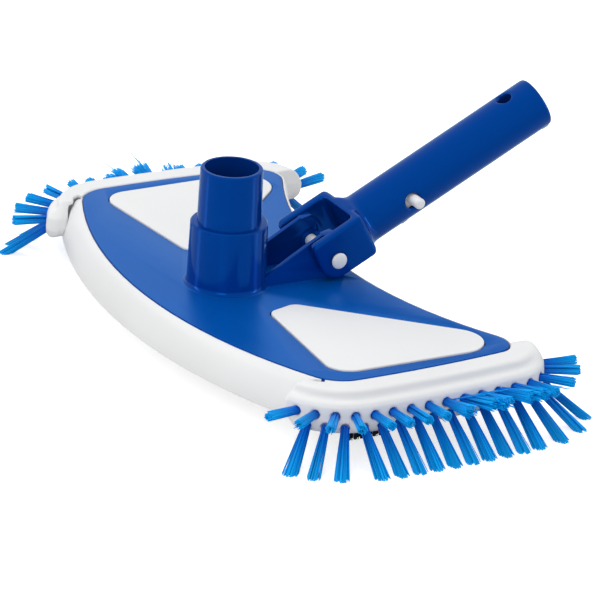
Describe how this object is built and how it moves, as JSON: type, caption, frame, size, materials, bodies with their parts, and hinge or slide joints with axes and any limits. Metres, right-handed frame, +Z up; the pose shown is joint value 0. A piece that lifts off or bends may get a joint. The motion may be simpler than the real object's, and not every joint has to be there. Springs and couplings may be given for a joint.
{
  "type": "pool vacuum head",
  "caption": "Crescent suction head for a pool floor and wall, with bristled end bumpers, a stepped hose cuff and a tilting handle with a spring clip for a pole.",
  "frame": {"origin": "middle of the bounding box, on the floor that the bristles stand on", "axes": "+X along the head, +Y from the curved front towards the handle, +Z up"},
  "size_m": [0.3652, 0.237, 0.1222],
  "materials": {
    "blue_plastic": "glossy injection-moulded",
    "white_plastic": "satin injection-moulded",
    "bristle_blue": "extruded filament",
    "bristle_black": "extruded filament",
    "steel": "zinc plated"
  },
  "bodies": {
    "head": {"top_plate": "blue_plastic", "base_shell": "white_plastic", "brush_cap_right": "white_plastic", "brush_cap_left": "white_plastic", "side_brush_right": "bristle_blue", "side_brush_left": "bristle_blue", "weight_cover_right": "white_plastic", "weight_cover_left": "white_plastic", "ballast_right": "steel", "ballast_left": "steel", "floor_brush_front": "bristle_black", "floor_brush_rear": "bristle_black", "body_screw_1": "steel", "body_screw_2": "steel", "body_screw_3": "steel", "body_screw_4": "steel", "body_screw_5": "steel", "body_screw_6": "steel", "body_screw_7": "steel", "body_screw_8": "steel", "cap_screw_1": "steel", "cap_screw_2": "steel", "cap_screw_3": "steel", "cap_screw_4": "steel"},
    "handle": {"handle": "blue_plastic", "pivot_pin": "white_plastic", "pivot_pin_cap": "white_plastic", "clip_bend": "white_plastic"},
    "clip_arm_right": {"clip_arm_right": "white_plastic"},
    "clip_arm_left": {"clip_arm_left": "white_plastic"}
  },
  "joints": [
    {"name": "handle_tilt", "type": "hinge", "parent": "head", "child": "handle", "pos_m": [0, -0.01228, 0.0477], "axis": [1, 0, 0], "range_deg": [-26, 63]},
    {"name": "button_right", "type": "hinge", "parent": "handle", "child": "clip_arm_right", "pos_m": [0.0041, 0.08144, 0.09504], "axis": [0, -0.4509, 0.8926], "range_deg": [-7, 0], "stiffness_Nm_per_rad": 3, "springref_deg": 5.73},
    {"name": "button_left", "type": "hinge", "parent": "handle", "child": "clip_arm_left", "pos_m": [-0.0041, 0.08144, 0.09504], "axis": [0, -0.4509, 0.8926], "range_deg": [0, 7], "stiffness_Nm_per_rad": 3, "springref_deg": -5.73}
  ]
}
